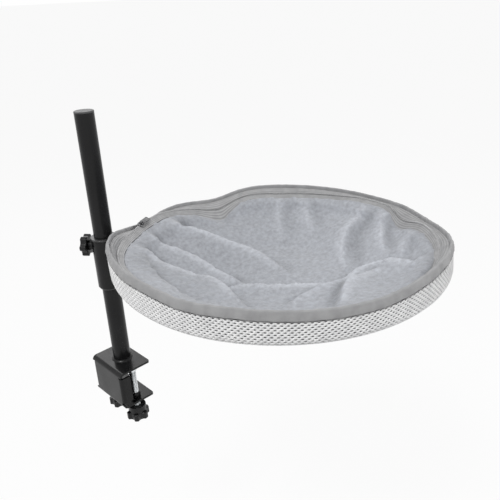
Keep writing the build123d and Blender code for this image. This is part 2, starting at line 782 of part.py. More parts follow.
# ... and an upright side strip, with a soft upper edge
with BuildPart() as plush_side:
    with BuildSketch(bed_section) as side_section:
        with Locations((liner_radius, side_foot)):
            Rectangle(
                liner_thickness, rim_level - liner_rim_drop - side_foot, align=(Align.MAX, Align.MIN)
            )
        fillet(side_section.vertices().group_by(Axis.Y)[-1], liner_thickness * liner_edge_share)
    revolve(axis=bed_axis)
plush_side.part.label = "plush_side"
export_step(plush_side.part, "parts/plush_side.step")
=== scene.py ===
from math import atan2, cos, pi, radians, sin, tan

import bpy
import numpy as np
from mathutils import Matrix, Vector


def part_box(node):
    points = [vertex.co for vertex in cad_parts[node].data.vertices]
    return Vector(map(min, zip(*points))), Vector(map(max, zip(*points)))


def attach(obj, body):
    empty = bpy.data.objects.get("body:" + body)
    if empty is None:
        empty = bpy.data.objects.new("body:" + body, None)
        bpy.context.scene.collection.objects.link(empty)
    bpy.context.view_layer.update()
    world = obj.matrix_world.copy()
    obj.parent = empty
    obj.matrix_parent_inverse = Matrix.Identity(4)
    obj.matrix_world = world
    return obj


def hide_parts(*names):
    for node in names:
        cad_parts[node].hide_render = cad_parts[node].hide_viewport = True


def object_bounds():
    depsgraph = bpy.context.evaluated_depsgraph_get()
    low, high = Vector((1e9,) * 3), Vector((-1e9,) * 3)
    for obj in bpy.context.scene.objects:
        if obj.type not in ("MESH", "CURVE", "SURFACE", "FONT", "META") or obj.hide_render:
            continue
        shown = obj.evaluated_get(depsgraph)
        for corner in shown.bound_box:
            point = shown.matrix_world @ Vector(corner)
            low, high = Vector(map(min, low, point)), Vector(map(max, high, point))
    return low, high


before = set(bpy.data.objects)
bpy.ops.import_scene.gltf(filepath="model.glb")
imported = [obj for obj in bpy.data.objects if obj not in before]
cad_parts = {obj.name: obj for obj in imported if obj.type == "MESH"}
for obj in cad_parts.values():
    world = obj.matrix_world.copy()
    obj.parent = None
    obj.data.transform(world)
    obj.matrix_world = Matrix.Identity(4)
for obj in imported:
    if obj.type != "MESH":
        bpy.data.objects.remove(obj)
cad_low, cad_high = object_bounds()
mm = 0.001

# Camera: it stands where the photograph was taken from, a little above the pole's top, and looks
# straight at the middle of the picture.
lens_length = 42.209
sensor_width = 36.0
camera_place = Vector((-0.34529, -0.64277, 0.46925))
camera_right = Vector((0.71437, -0.69829, -0.04541))
camera_up = Vector((0.31051, 0.25816, 0.91484))

camera_data = bpy.data.cameras.new("photo_camera")
camera_data.lens = lens_length
camera_data.sensor_width = sensor_width
camera = bpy.data.objects.new("photo_camera", camera_data)
camera_turn = Matrix((camera_right, camera_up, camera_right.cross(camera_up))).transposed()
camera.matrix_world = Matrix.Translation(camera_place) @ camera_turn.to_4x4()
bpy.context.scene.collection.objects.link(camera)
bpy.context.scene.camera = camera

# Studio: a pale floor well below the clamp, a white surround, and three large soft lamps: a key at
# the upper left, a fill at the right and a rim light behind.
floor_drop = 0.36
floor_half = 600.0
floor_colour = (0.86, 0.86, 0.86)
floor_roughness = 0.9
floor_glow_share = 0.92
surround_light = 0.3
lamps_aim = Vector((0.1, -0.15, 0.1))

# Lamps: name, place, size across and power
lamps = (
    ("key_lamp", (-1.4, -0.6, 2.5), 0.8, 52.0),
    ("back_lamp", (0.5, 1.6, 1.4), 0.9, 8.0),
    ("fill_lamp", (1.3, -1.5, 0.9), 1.2, 13.0),
)
bpy.context.scene.view_settings.view_transform = "Standard"


def seen_directly(tree):
    """1 for rays that show a surface itself, in the picture, in a gloss or through glass, else 0."""
    path = tree.nodes.new("ShaderNodeLightPath")
    total = path.outputs["Is Camera Ray"]
    for kind in ("Is Glossy Ray", "Is Transmission Ray"):
        add = tree.nodes.new("ShaderNodeMath")
        add.operation = "MAXIMUM"
        tree.links.new(total, add.inputs[0])
        tree.links.new(path.outputs[kind], add.inputs[1])
        total = add.outputs[0]
    return total


world = bpy.data.worlds.new("white_surround")
bpy.context.scene.world = world
world.use_nodes = True
backdrop = world.node_tree.nodes["Background"]
level = world.node_tree.nodes.new("ShaderNodeMapRange")
level.inputs["To Min"].default_value = surround_light
level.inputs["To Max"].default_value = 1.0
world.node_tree.links.new(seen_directly(world.node_tree), level.inputs["Value"])
world.node_tree.links.new(level.outputs["Result"], backdrop.inputs["Strength"])
backdrop.inputs["Color"].default_value = (1, 1, 1, 1)

for lamp_name, lamp_place, lamp_size, lamp_power in lamps:
    lamp_data = bpy.data.lights.new(lamp_name, "AREA")
    lamp_data.size = lamp_size
    lamp_data.energy = lamp_power
    lamp = bpy.data.objects.new(lamp_name, lamp_data)
    lamp.location = lamp_place
    aim = lamps_aim - Vector(lamp_place)
    lamp.rotation_euler = aim.to_track_quat("-Z", "Y").to_euler()
    bpy.context.scene.collection.objects.link(lamp)

floor_mesh = bpy.data.meshes.new("floor")
floor_level = cad_low.z - floor_drop
floor_mesh.from_pydata(
    [(x * floor_half, y * floor_half, floor_level) for x, y in ((-1, -1), (1, -1), (1, 1), (-1, 1))],
    [],
    [(0, 1, 2, 3)],
)
floor = bpy.data.objects.new("floor", floor_mesh)
bpy.context.scene.collection.objects.link(floor)
floor_paint = bpy.data.materials.new("floor_paint")
floor_paint.use_nodes = True
floor_tree = floor_paint.node_tree
floor_shader = floor_tree.nodes["Principled BSDF"]
floor_shader.inputs["Base Color"].default_value = (*floor_colour, 1)
floor_shader.inputs["Roughness"].default_value = floor_roughness
floor_glow = floor_tree.nodes.new("ShaderNodeEmission")
floor_mix = floor_tree.nodes.new("ShaderNodeMixShader")
floor_share = floor_tree.nodes.new("ShaderNodeMapRange")
floor_share.inputs["To Max"].default_value = floor_glow_share
floor_tree.links.new(seen_directly(floor_tree), floor_share.inputs["Value"])
floor_tree.links.new(floor_share.outputs["Result"], floor_mix.inputs["Fac"])
floor_tree.links.new(floor_shader.outputs["BSDF"], floor_mix.inputs[1])
floor_tree.links.new(floor_glow.outputs["Emission"], floor_mix.inputs[2])
floor_tree.links.new(floor_mix.outputs["Shader"], floor_tree.nodes["Material Output"].inputs["Surface"])
floor_mesh.materials.append(floor_paint)


# Bracket, pole, sleeve, arm and bosses: folded and welded steel with a gloss black powder coat,
# which has a faint orange peel and a slightly uneven tone and gloss.
def finish(name, colour, roughness, metallic=0.0):
    """A new material, as its node tree and its shader, of one colour, roughness and metalness."""
    material = bpy.data.materials.new(name)
    material.use_nodes = True
    shader = material.node_tree.nodes["Principled BSDF"]
    shader.inputs["Base Color"].default_value = (*colour, 1)
    shader.inputs["Roughness"].default_value = roughness
    shader.inputs["Metallic"].default_value = metallic
    return material, material.node_tree, shader


def clouds(tree, size, detail=2.0, stretch=(1, 1, 1)):
    """Smooth noise from 0 to 1 over the piece, its lumps about as large as the size in metres."""
    source = tree.nodes.new("ShaderNodeTexCoord")
    scaled = tree.nodes.new("ShaderNodeMapping")
    scaled.inputs["Scale"].default_value = stretch
    noise = tree.nodes.new("ShaderNodeTexNoise")
    noise.inputs["Scale"].default_value = 1 / size
    noise.inputs["Detail"].default_value = detail
    tree.links.new(source.outputs["Object"], scaled.inputs["Vector"])
    tree.links.new(scaled.outputs["Vector"], noise.inputs["Vector"])
    return noise.outputs["Fac"]


def blend_colours(tree, shader, pattern, dark, light, low=0.35, high=0.65):
    """The base colour goes from dark to light as the pattern goes from low to high."""
    ramp = tree.nodes.new("ShaderNodeValToRGB")
    ramp.color_ramp.elements[0].position = low
    ramp.color_ramp.elements[1].position = high
    ramp.color_ramp.elements[0].color = (*dark, 1)
    ramp.color_ramp.elements[1].color = (*light, 1)
    tree.links.new(pattern, ramp.inputs["Fac"])
    tree.links.new(ramp.outputs["Color"], shader.inputs["Base Color"])


def vary_roughness(tree, shader, pattern, low, high):
    """The roughness goes from low to high as the pattern goes from 0.3 to 0.7."""
    span = tree.nodes.new("ShaderNodeMapRange")
    span.inputs["From Min"].default_value = 0.3
    span.inputs["From Max"].default_value = 0.7
    span.inputs["To Min"].default_value = low
    span.inputs["To Max"].default_value = high
    tree.links.new(pattern, span.inputs["Value"])
    tree.links.new(span.outputs["Result"], shader.inputs["Roughness"])


def raise_surface(tree, shader, pattern, depth, onto=None):
    """A bump of that depth in metres where the pattern goes from 0 to 1, laid over an earlier one."""
    bump = tree.nodes.new("ShaderNodeBump")
    bump.inputs["Distance"].default_value = depth
    tree.links.new(pattern, bump.inputs["Height"])
    if onto is not None:
        tree.links.new(onto, bump.inputs["Normal"])
    tree.links.new(bump.outputs["Normal"], shader.inputs["Normal"])
    return bump.outputs["Normal"]


def dress(material, *nodes):
    """These nodes of the frame wear the material."""
    for node in nodes:
        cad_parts[node].material_slots[0].material = material


powder_coat, tree, shader = finish("powder_coat", (0.006, 0.006, 0.006), 0.3)
blend_colours(tree, shader, clouds(tree, 60 * mm), (0.005, 0.005, 0.0053), (0.009, 0.009, 0.0094))
vary_roughness(tree, shader, clouds(tree, 35 * mm, 4), 0.24, 0.38)
raise_surface(tree, shader, clouds(tree, 1.4 * mm, 3), 0.05 * mm)
shader.inputs["Specular IOR Level"].default_value = 0.2
shader.inputs["Coat Weight"].default_value = 0.08
shader.inputs["Coat Roughness"].default_value = 0.15
dress(powder_coat, "clamp_bracket", "thread_bosses", "pole", "pole_weld", "sleeve", "lock_boss", "arm")

# Hoop: a ring of bent steel tube in the foot of the mesh band, which the whole bed hangs on. It is
# dipped in plain black paint, which leaves thin streaks.
hoop_paint, tree, shader = finish("hoop_paint", (0.03, 0.03, 0.03), 0.5)
blend_colours(tree, shader, clouds(tree, 8 * mm, 4, (1, 1, 0.2)), (0.02, 0.02, 0.02), (0.04, 0.04, 0.04))
raise_surface(tree, shader, clouds(tree, 2 * mm), 0.03 * mm)
dress(hoop_paint, "hoop")

# Jaw pad: a sheet of matt black rubber with a fine cast grain, glued under the upper jaw, where it
# rests on the desk.
pad_rubber, tree, shader = finish("pad_rubber", (0.03, 0.03, 0.03), 0.85)
blend_colours(tree, shader, clouds(tree, 12 * mm, 4), (0.024, 0.024, 0.024), (0.04, 0.04, 0.041))
raise_surface(tree, shader, clouds(tree, 0.6 * mm, 3), 0.08 * mm)
dress(pad_rubber, "jaw_pad")

# Star knobs and bushes: black plastic mouldings. The knobs are glossy with faint flow marks, and
# the bushes have the slightly waxy gloss of a low-friction plastic.
knob_plastic, tree, shader = finish("knob_plastic", (0.014, 0.014, 0.015), 0.25)
blend_colours(tree, shader, clouds(tree, 18 * mm, 3), (0.005, 0.005, 0.0055), (0.009, 0.009, 0.0095))
vary_roughness(tree, shader, clouds(tree, 6 * mm, 4), 0.2, 0.34)
raise_surface(tree, shader, clouds(tree, 1.1 * mm, 2), 0.02 * mm)
shader.inputs["Specular IOR Level"].default_value = 0.3
dress(knob_plastic, "clamp_knob_right", "clamp_knob_left", "lock_knob")

bush_plastic, tree, shader = finish("bush_plastic", (0.03, 0.03, 0.031), 0.32)
blend_colours(tree, shader, clouds(tree, 9 * mm, 3), (0.026, 0.026, 0.027), (0.036, 0.036, 0.037))
raise_surface(tree, shader, clouds(tree, 0.8 * mm, 2), 0.03 * mm)
dress(bush_plastic, "sleeve_bush_upper", "sleeve_bush_lower")

# Pole cap: a moulded plug of dark grey plastic, pushed into the pole's open top. Its face is satin,
# from a spark-eroded mould.
cap_plastic, tree, shader = finish("cap_plastic", (0.055, 0.055, 0.057), 0.5)
blend_colours(tree, shader, clouds(tree, 5 * mm, 4), (0.05, 0.05, 0.052), (0.066, 0.066, 0.068))
raise_surface(tree, shader, clouds(tree, 0.5 * mm, 3), 0.05 * mm)
dress(cap_plastic, "pole_cap")

# Lock screw, its tip and the pressure pads: turned steel with bright zinc plate, which shows fine
# tool marks and a faint cloudiness.
zinc_plate, tree, shader = finish("zinc_plate", (0.62, 0.62, 0.63), 0.3, 1.0)
blend_colours(tree, shader, clouds(tree, 4 * mm, 4), (0.66, 0.68, 0.69), (0.8, 0.82, 0.83))
vary_roughness(tree, shader, clouds(tree, 2 * mm, 4, (1, 1, 12)), 0.22, 0.42)
raise_surface(tree, shader, clouds(tree, 1 * mm, 3, (1, 1, 14)), 0.02 * mm)
dress(zinc_plate, "pressure_pad_right", "pressure_pad_left", "lock_tip", "lock_screw")


# Clamp screws: M10 studs with a 1.5 mm rolled thread, a hexagon head that the knob is moulded
# round, and a plain neck that turns in the pressure pad.
def smooth_surface(name, points, closed_section=False, capped=False, sharp=None):
    """A mesh over a grid of points, which runs round in its first index and along a section in its second.

    A closed section joins its last point to its first. A capped one ends in a fan to the middle of
    each end ring. Faces are turned about if the volume that they enclose comes out negative. The UV
    map holds metres round and along.
    """
    rounds, along = points.shape[:2]
    i, j = np.meshgrid(np.arange(rounds), np.arange(along - (not closed_section)), indexing="ij")
    i, j = i.ravel(), j.ravel()
    corners = ((i, j), (i + 1, j), (i + 1, j + 1), (i, j + 1))
    quads = np.stack([a % rounds * along + b % along for a, b in corners], axis=1)
    girth = np.linalg.norm(np.roll(points, -1, axis=0) - points, axis=2).sum(axis=0).mean()
    steps = np.linalg.norm(np.roll(points, -1, axis=1) - points, axis=2).mean(axis=0)
    reach = np.concatenate(([0], np.cumsum(steps)))
    flat = np.stack([np.stack([a * girth / rounds, reach[b]], axis=1) for a, b in corners], axis=1)
    vertices = points.reshape(-1, 3)
    faces = quads.tolist()
    flat = flat.reshape(-1, 2)
    if capped:
        ring = np.arange(rounds)
        for end, turn in ((0, -1), (along - 1, 1)):
            hub = len(vertices)
            vertices = np.vstack([vertices, points[:, end].mean(axis=0)])
            fan = np.stack([ring * along + end, np.roll(ring, -turn) * along + end], axis=1)
            faces += [[a, b, hub] for a, b in fan.tolist()]
            flat = np.vstack([flat, np.zeros((3 * rounds, 2))])
    a, b, c = (vertices[quads[:, k]] for k in range(3))
    middle = vertices.mean(axis=0)
    volume = np.einsum("ij,ij->", a - middle, np.cross(b - middle, c - middle))
    mesh = bpy.data.meshes.new(name)
    mesh.from_pydata(vertices.tolist(), [], faces)
    layer = mesh.uv_layers.new(name="UVMap")
    layer.data.foreach_set("uv", flat.ravel())
    if volume < 0:
        mesh.flip_normals()
    mesh.polygons.foreach_set("use_smooth", np.ones(len(faces), bool))
    if sharp is not None:
        mesh.set_sharp_from_angle(angle=sharp)
    piece = bpy.data.objects.new(name, mesh)
    bpy.context.scene.collection.objects.link(piece)
    return piece


thread_pitch = 1.5 * mm
thread_depth = 0.9 * mm
stud_radius = 5.0 * mm
neck_radius = 3.0 * mm
head_half_flats = 8.5 * mm
head_height = 6.4 * mm
head_chamfer = 0.9 * mm
neck_length = 2.6 * mm
stud_sides = 48
steps_per_turn = 8
sharp_angle = radians(35)


def stud(name, centre, foot, top):
    """A screw: radius against angle and height.

    The head's radius is that of a hexagon, the half flats over the cosine of the angle from a
    flat's middle, and its two ends are chamfered. The thread's falls by a triangle wave of height
    over pitch minus angle over a turn, and the neck's is even.
    """
    angle = np.linspace(0, 2 * pi, stud_sides, endpoint=False)[:, None]
    hexagon = head_half_flats / np.cos((angle + pi / 6) % (pi / 3) - pi / 6)
    thread_top = top - neck_length
    levels = np.arange(foot + head_height, thread_top, thread_pitch / steps_per_turn)[None, :]
    wave = np.abs(2 * ((levels / thread_pitch - angle / (2 * pi)) % 1) - 1)
    fade = np.clip((thread_top - levels) / thread_pitch, 0, 1)
    thread = stud_radius - thread_depth * (wave * fade + 1 - fade)
    chamfered = np.minimum(hexagon, head_half_flats - head_chamfer / 2)
    head_levels = [foot, foot + head_chamfer, foot + head_height - head_chamfer, foot + head_height]
    head_radii = [chamfered, hexagon, hexagon, chamfered]
    neck_levels = [thread_top, thread_top, top]
    neck_radii = [stud_radius - thread_depth, neck_radius, neck_radius]
    radius = np.hstack(head_radii + [thread] + [np.full_like(angle, r) for r in neck_radii])
    height = np.concatenate([head_levels, levels[0], neck_levels])[None, :] + 0 * angle
    points = np.stack(
        [centre.x + radius * np.cos(angle), centre.y + radius * np.sin(angle), height], axis=2
    )
    return smooth_surface(name, points, capped=True, sharp=sharp_angle)


for side in ("right", "left"):
    low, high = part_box(f"clamp_screw_{side}")
    piece = stud(f"threaded_stud_{side}", (low + high) / 2, low.z, high.z)
    piece.data.materials.append(zinc_plate)
    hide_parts(f"clamp_screw_{side}")
    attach(piece, f"hand_screw_{side}")

# Mesh band: white spacer mesh, knitted with staggered oval holes, pulled over the hoop and curled
# in under it. A grey cloth backs it, painted darker to stand for the shade seen through the holes,
# and a slot at the pole's side lets the arm through.
hoop_low, hoop_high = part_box("hoop")
bed_centre = (hoop_low + hoop_high) / 2
bed_turn = atan2(bed_centre.y, bed_centre.x)
band_low, band_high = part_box("mesh_band")
band_radius = 204.0 * mm
band_lean = 2.5 * mm
band_base = band_low.z
seam_level = band_high.z
curl_radius = 8.0 * mm
foot_width = 17.4 * mm
hole_width = 3.3 * mm
hole_height = 1.75 * mm
cells_round = 202
cell_steps = 4
hole_rows = 11
row_pitch = 2.45 * mm
last_row_share = 0.7
plain_rows = 11
top_margin = 0.8 * mm
strand_rise = 0.28 * mm
hole_depth = 1.0 * mm
lift_power = 1.5
bulge_power = 0.5

# Directions from a hole's middle to its ten points, in degrees
hole_spokes = (150, 120, 90, 60, 30, -30, -60, -90, -120, -150)

# The slot for the arm, a square tube, and how much of the way along the section is height
arm_low, arm_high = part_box("arm")
arm_side_gap = 3.3 * mm
arm_top_gap = 1.0 * mm
slot_half = (arm_high.z - arm_low.z) / 2 + arm_side_gap
slot_top = arm_high.z + arm_top_gap
rise_share = 0.86

# How far the rim stands above or below its even height, by angle round the bed: heights in
# degrees and millimetres, with 0 away from the pole
rim_heights = (
    (-180, -2), (-172, 5), (-160, 8), (-150, 6), (-143, 3), (-126, 4), (-118, 1), (-110, -1),
    (-100, 1), (-88, 0), (-70, -2), (-54, -2), (-42, 2), (-28, 5), (-16, 4), (-5, -1), (6, -7),
    (18, -12), (27, -13), (36, -10), (53, -10), (68, -8), (86, -6), (104, -4.5), (113, -6),
    (120, -12), (126, -17), (133, -14), (141, -10), (149, -8), (157, -11), (165, -13), (172, -8),
)

# How far the slack cloth of the rim bulges out over the hoop, by angle, in the same way
rim_bulges = (
    (-180, 2), (-174, 6), (-166, 8), (-156, 7), (-146, 4), (-132, 1), (-118, 0), (160, 0), (172, 0),
)
rim_spread = 5
spread_samples = 11


def round_bed(places, angle, spread=rim_spread, column=1):
    """Value at an angle: straight lines between listed points, averaged over the spread both ways."""
    degrees = [place[0] for place in places]
    values = [place[column] * mm for place in places]
    turns = [np.degrees(angle) + shift for shift in np.linspace(-spread, spread, spread_samples)]
    return sum(np.interp(turn, degrees, values, period=360) for turn in turns) / spread_samples


def in_bed(radius, angle, height):
    """Points at a radius and an angle from the bed's centre line, at a height, in the frame."""
    turned = angle + bed_turn
    x = bed_centre.x + radius * np.cos(turned)
    y = bed_centre.y + radius * np.sin(turned)
    return np.stack(np.broadcast_arrays(x, y, height), axis=-1)


band_tilt = atan2(band_lean, seam_level - band_base)
curl_turn = pi / 2 + band_tilt
curl_tangent = curl_radius * tan(curl_turn / 2)
flat_length = foot_width - curl_tangent
curl_length = curl_radius * curl_turn
wall_length = (seam_level - band_base) / cos(band_tilt) - curl_tangent
band_length = flat_length + curl_length + wall_length


def band_surface(angle, travel, outward):
    """A point of the band, travel being the way along its section from its inner foot.

    The section is a flat foot, an arc of the curl's radius and a leaning wall. The rim's heights
    and bulges move it by a power of the share of the way from the foot to the seam. Outward moves
    the point along the section's normal.
    """
    bend = np.clip((travel - flat_length) / curl_radius, 0, curl_turn)
    flat = np.minimum(travel, flat_length)
    wall = np.maximum(travel - flat_length - curl_length, 0)
    radius = band_radius - foot_width + flat + curl_radius * np.sin(bend) - wall * sin(band_tilt)
    height = band_base + curl_radius * (1 - np.cos(bend)) + wall * cos(band_tilt)
    share = np.clip((travel - flat_length) / (curl_length + wall_length), 0, 1)
    height = height + share**lift_power * round_bed(rim_heights, angle)
    radius = radius + share**bulge_power * round_bed(rim_bulges, angle)
    return in_bed(radius + outward * np.sin(bend), angle, height - outward * np.cos(bend))


def clear_of_arm(angle, travel):
    """Angles within half a turn of 0, moved to the side of the arm's slot where they lie inside it.

    It also tells which of them lie inside, being near the pole, near its line and below the top.
    """
    angle = (angle + pi) % (2 * pi) - pi
    aside = band_radius * np.sin(angle)
    near_pole = np.cos(angle) < 0
    rise = band_base + np.maximum(travel - flat_length, 0) * rise_share
    inside = near_pole & (np.abs(aside) < slot_half) & (rise < slot_top)
    edge = pi - np.arcsin(slot_half / band_radius)
    return np.where(inside, np.where(np.sin(angle) >= 0, edge, -edge), angle), inside


def ring_quads(upper, lower, columns):
    """Quads between rings of points, from the numbers of each upper and lower ring's first point."""
    column = np.arange(columns)
    following = (column + 1) % columns
    upper, lower = upper[:, None], lower[:, None]
    corners = [upper + column, lower + column, lower + following, upper + following]
    return np.stack(corners, axis=2).reshape(-1, 4)


def perforated_band():
    """The points and faces of the band's outer skin.

    Each hole has a cell of the lattice round it, a rectangle with five points on its upper and its
    lower side, shifted by half a cell in every other row. Ten quads join it to a ten-sided oval, and
    ten more go in through the cloth. Below the last row plain rings run on to the foot.
    """
    columns = cell_steps * cells_round
    column_angle = np.arange(columns) * 2 * pi / columns
    line_travel = band_length - top_margin - np.arange(hole_rows + 1) * row_pitch
    plain_travel = np.linspace(line_travel[-1], 0, plain_rows + 1)[1:]
    row, cell = np.indices((hole_rows, cells_round)).reshape(2, -1)
    first = cell_steps * cell + cell_steps // 2 * (row % 2)
    spoke = np.radians(hole_spokes)
    middle_angle = (first + cell_steps / 2) * 2 * pi / columns
    middle_travel = line_travel[row] - row_pitch / 2
    shrink = np.where(row == hole_rows - 1, last_row_share, 1.0)[:, None]
    oval_angle = middle_angle[:, None] + shrink * hole_width / 2 * np.cos(spoke) / band_radius
    oval_travel = middle_travel[:, None] + shrink * hole_height / 2 * np.sin(spoke)
    parts = (
        (np.tile(column_angle, hole_rows + 1), np.repeat(line_travel, columns), strand_rise),
        (oval_angle.ravel(), oval_travel.ravel(), 0.0),
        (oval_angle.ravel(), oval_travel.ravel(), -hole_depth),
        (np.tile(column_angle, plain_rows), np.repeat(plain_travel, columns), 0.0),
    )
    travel = np.concatenate([part[1] for part in parts])
    rise = np.concatenate([np.full(len(part[0]), part[2]) for part in parts])
    angle, inside = clear_of_arm(np.concatenate([part[0] for part in parts]), travel)
    points = band_surface(angle, travel, rise)

    steps = np.arange(cell_steps + 1)
    upper = row[:, None] * columns + (first[:, None] + steps) % columns
    lower = (row[:, None] + 1) * columns + (first[:, None] + steps[::-1]) % columns
    cell_ring = np.hstack([upper, lower])
    lines_end = (hole_rows + 1) * columns
    oval = lines_end + np.arange(oval_angle.size).reshape(oval_angle.shape)
    deep = oval + oval_angle.size
    follow = np.roll(np.arange(len(hole_spokes)), -1)
    cell_faces = np.stack([cell_ring, oval, oval[:, follow], cell_ring[:, follow]], axis=2)
    wall_faces = np.stack([oval, deep, deep[:, follow], oval[:, follow]], axis=2)
    plain_start = lines_end + 2 * oval_angle.size + np.arange(plain_rows) * columns
    plain_faces = ring_quads(np.append(hole_rows * columns, plain_start[:-1]), plain_start, columns)
    faces = np.vstack([cell_faces.reshape(-1, 4), wall_faces.reshape(-1, 4), plain_faces])
    return points, faces[~inside[faces].all(axis=1)]


def placed_mesh(name, points, faces):
    """A smooth mesh of those points and quads, without the points that no face uses."""
    used, faces = np.unique(faces, return_inverse=True)
    mesh = bpy.data.meshes.new(name)
    mesh.from_pydata(points[used].tolist(), [], faces.reshape(-1, 4).tolist())
    mesh.polygons.foreach_set("use_smooth", np.ones(len(mesh.polygons), bool))
    piece = bpy.data.objects.new(name, mesh)
    bpy.context.scene.collection.objects.link(piece)
    return piece


air_mesh, tree, shader = finish("air_mesh", (0.84, 0.84, 0.84), 0.75)
blend_colours(tree, shader, clouds(tree, 9 * mm, 4), (0.76, 0.76, 0.765), (0.88, 0.88, 0.88))
raise_surface(tree, shader, clouds(tree, 0.5 * mm, 3, (1, 1, 1.6)), 0.12 * mm)
shader.inputs["Sheen Weight"].default_value = 0.15

band_skin = placed_mesh("mesh_band_skin", *perforated_band())
band_skin.data.materials.append(air_mesh)
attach(band_skin, "bed")

# Backing: a grey cloth, its colour painted darker as the shade seen through the band's holes
backing_cloth_and_painted_shade, tree, shader = finish("backing_cloth_and_painted_shade", (0.1, 0.1, 0.104), 0.9)
blend_colours(tree, shader, clouds(tree, 3 * mm, 4), (0.085, 0.085, 0.09), (0.13, 0.13, 0.135))
raise_surface(tree, shader, clouds(tree, 0.7 * mm, 2), 0.1 * mm)

backing_columns = 480
backing_rows = 22
backing_foot = 0.5 * mm
backing_depth = 1.05 * mm
backing_thickness = 0.8 * mm
back_angle = np.tile(np.arange(backing_columns) * 2 * pi / backing_columns, backing_rows)
back_travel = np.repeat(np.linspace(band_length, backing_foot, backing_rows), backing_columns)
back_angle, back_inside = clear_of_arm(back_angle, back_travel)
back_points = band_surface(back_angle, back_travel, -backing_depth)
back_start = np.arange(backing_rows) * backing_columns
back_faces = ring_quads(back_start[:-1], back_start[1:], backing_columns)
back_faces = back_faces[~back_inside[back_faces].all(axis=1)]
band_backing = placed_mesh("mesh_band_backing", back_points, back_faces)
band_backing.data.materials.append(backing_cloth_and_painted_shade)
thicken = band_backing.modifiers.new("cloth_thickness", "SOLIDIFY")
thicken.thickness = backing_thickness
thicken.offset = -1
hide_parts("mesh_band")
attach(band_backing, "bed")

# Rim binding: a strip of grey twill folded over the band's upper edge and sewn through, so that it
# is a little full between the stitches and rises and falls with the soft rim.
rim_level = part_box("rim_binding")[1].z
rim_columns = 720
binding_lean = 1.4 * mm
binding_thickness = 3.0 * mm
hem_drop = 0.6 * mm
outer_hem_tuck = 0.4 * mm
inner_hem_tuck = 0.6 * mm
seam_bulge = 1.1 * mm
seam_rise = 0.3 * mm
side_bulge = 0.9 * mm
binding_samples = 34
binding_passes = 2
binding_ripple = 0.35 * mm
binding_waves = (31, 47, 83, 118)
seam_radius = band_radius - band_lean
middle_level = (seam_level + rim_level) / 2


def rounded_line(corners, samples, passes, closed=False):
    """A line through the corners, evenly divided, then rounded.

    Each pass takes the sum of a point's two neighbours and twice itself, over four. A closed line
    comes back to its first corner, and an open one keeps its two ends.
    """
    corners = np.array(corners)
    if closed:
        corners = np.vstack([corners, corners[:1]])
    lengths = np.concatenate([[0], np.cumsum(np.linalg.norm(np.diff(corners, axis=0), axis=1))])
    place = np.linspace(0, lengths[-1], samples, endpoint=not closed)
    line = np.stack([np.interp(place, lengths, corners[:, k]) for k in range(2)], axis=1)
    for step in range(passes):
        rounded = (np.roll(line, 1, axis=0) + 2 * line + np.roll(line, -1, axis=0)) / 4
        if not closed:
            rounded[[0, -1]] = line[[0, -1]]
        line = rounded
    return line


def ripple(angle, waves, seed):
    """A sum of sine waves round the bed, with random phases, that stays between about -1 and 1."""
    phases = np.random.default_rng(seed).uniform(0, 2 * pi, len(waves))
    return sum(np.sin(n * angle + p) for n, p in zip(waves, phases)) / len(waves) ** 0.5


rim_angle = np.linspace(-pi, pi, rim_columns, endpoint=False)
rim_lift = round_bed(rim_heights, rim_angle)
rim_bulge = round_bed(rim_bulges, rim_angle)
binding_section = rounded_line(
    [
        (seam_radius - outer_hem_tuck, seam_level - hem_drop),
        (seam_radius + seam_bulge, seam_level + seam_rise),
        (seam_radius + side_bulge - binding_lean / 2, middle_level),
        (seam_radius - binding_lean, rim_level),
        (seam_radius - binding_lean - binding_thickness, rim_level),
        (seam_radius - binding_lean - binding_thickness, middle_level),
        (seam_radius - binding_thickness - inner_hem_tuck, seam_level - hem_drop),
    ],
    binding_samples,
    binding_passes,
    closed=True,
)
fullness = binding_ripple * ripple(rim_angle, binding_waves, seed=3)[:, None]
binding_radius = binding_section[:, 0] + fullness + rim_bulge[:, None]
binding_level = binding_section[:, 1] + rim_lift[:, None]
rim_binding = smooth_surface(
    "rim_binding_cloth", in_bed(binding_radius, rim_angle[:, None], binding_level), closed_section=True
)
binding_cloth, tree, shader = finish("binding_cloth", (0.3, 0.3, 0.3), 0.82)
blend_colours(tree, shader, clouds(tree, 14 * mm, 4), (0.305, 0.305, 0.31), (0.375, 0.375, 0.38))


def twill(tree, shader, spacing, turn, depth):
    """Fine ribs across the piece's own UV map: a sine wave whose turns are the spacing apart.

    The wave node goes through a set number of radians for each unit of its scaled place.
    """
    wave_radians = 20
    source = tree.nodes.new("ShaderNodeTexCoord")
    turned = tree.nodes.new("ShaderNodeMapping")
    turned.inputs["Rotation"].default_value = (0, 0, turn)
    ribs = tree.nodes.new("ShaderNodeTexWave")
    ribs.inputs["Scale"].default_value = 2 * pi / (wave_radians * spacing)
    ribs.inputs["Distortion"].default_value = 0.4
    tree.links.new(source.outputs["UV"], turned.inputs["Vector"])
    tree.links.new(turned.outputs["Vector"], ribs.inputs["Vector"])
    return raise_surface(tree, shader, ribs.outputs["Fac"], depth)


ribbed = twill(tree, shader, 0.8 * mm, radians(55), 0.1 * mm)
raise_surface(tree, shader, clouds(tree, 2.5 * mm, 3), 0.12 * mm, ribbed)
shader.inputs["Sheen Weight"].default_value = 0.2
rim_binding.data.materials.append(binding_cloth)
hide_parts("rim_binding")
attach(rim_binding, "bed")

# Zip: two woven tapes with a nylon coil between them, sewn to the binding's inner face and to the
# plush. The coil is one spiral of round wire, and the tapes have ribs along their length.
tape_thickness = 0.9 * mm
tape_rib_height = 0.22 * mm
tape_ribs = 4
tape_samples = 34
tape_inset = 1.6 * mm
tape_drop = 5.0 * mm
shoulder_width = 3.0 * mm
coil_half = 1.15 * mm
coil_gap = 1.1 * mm
coil_wire = 0.32 * mm
coil_turns = 740
coil_steps = 12
wire_sides = 5
zip_spread = 2

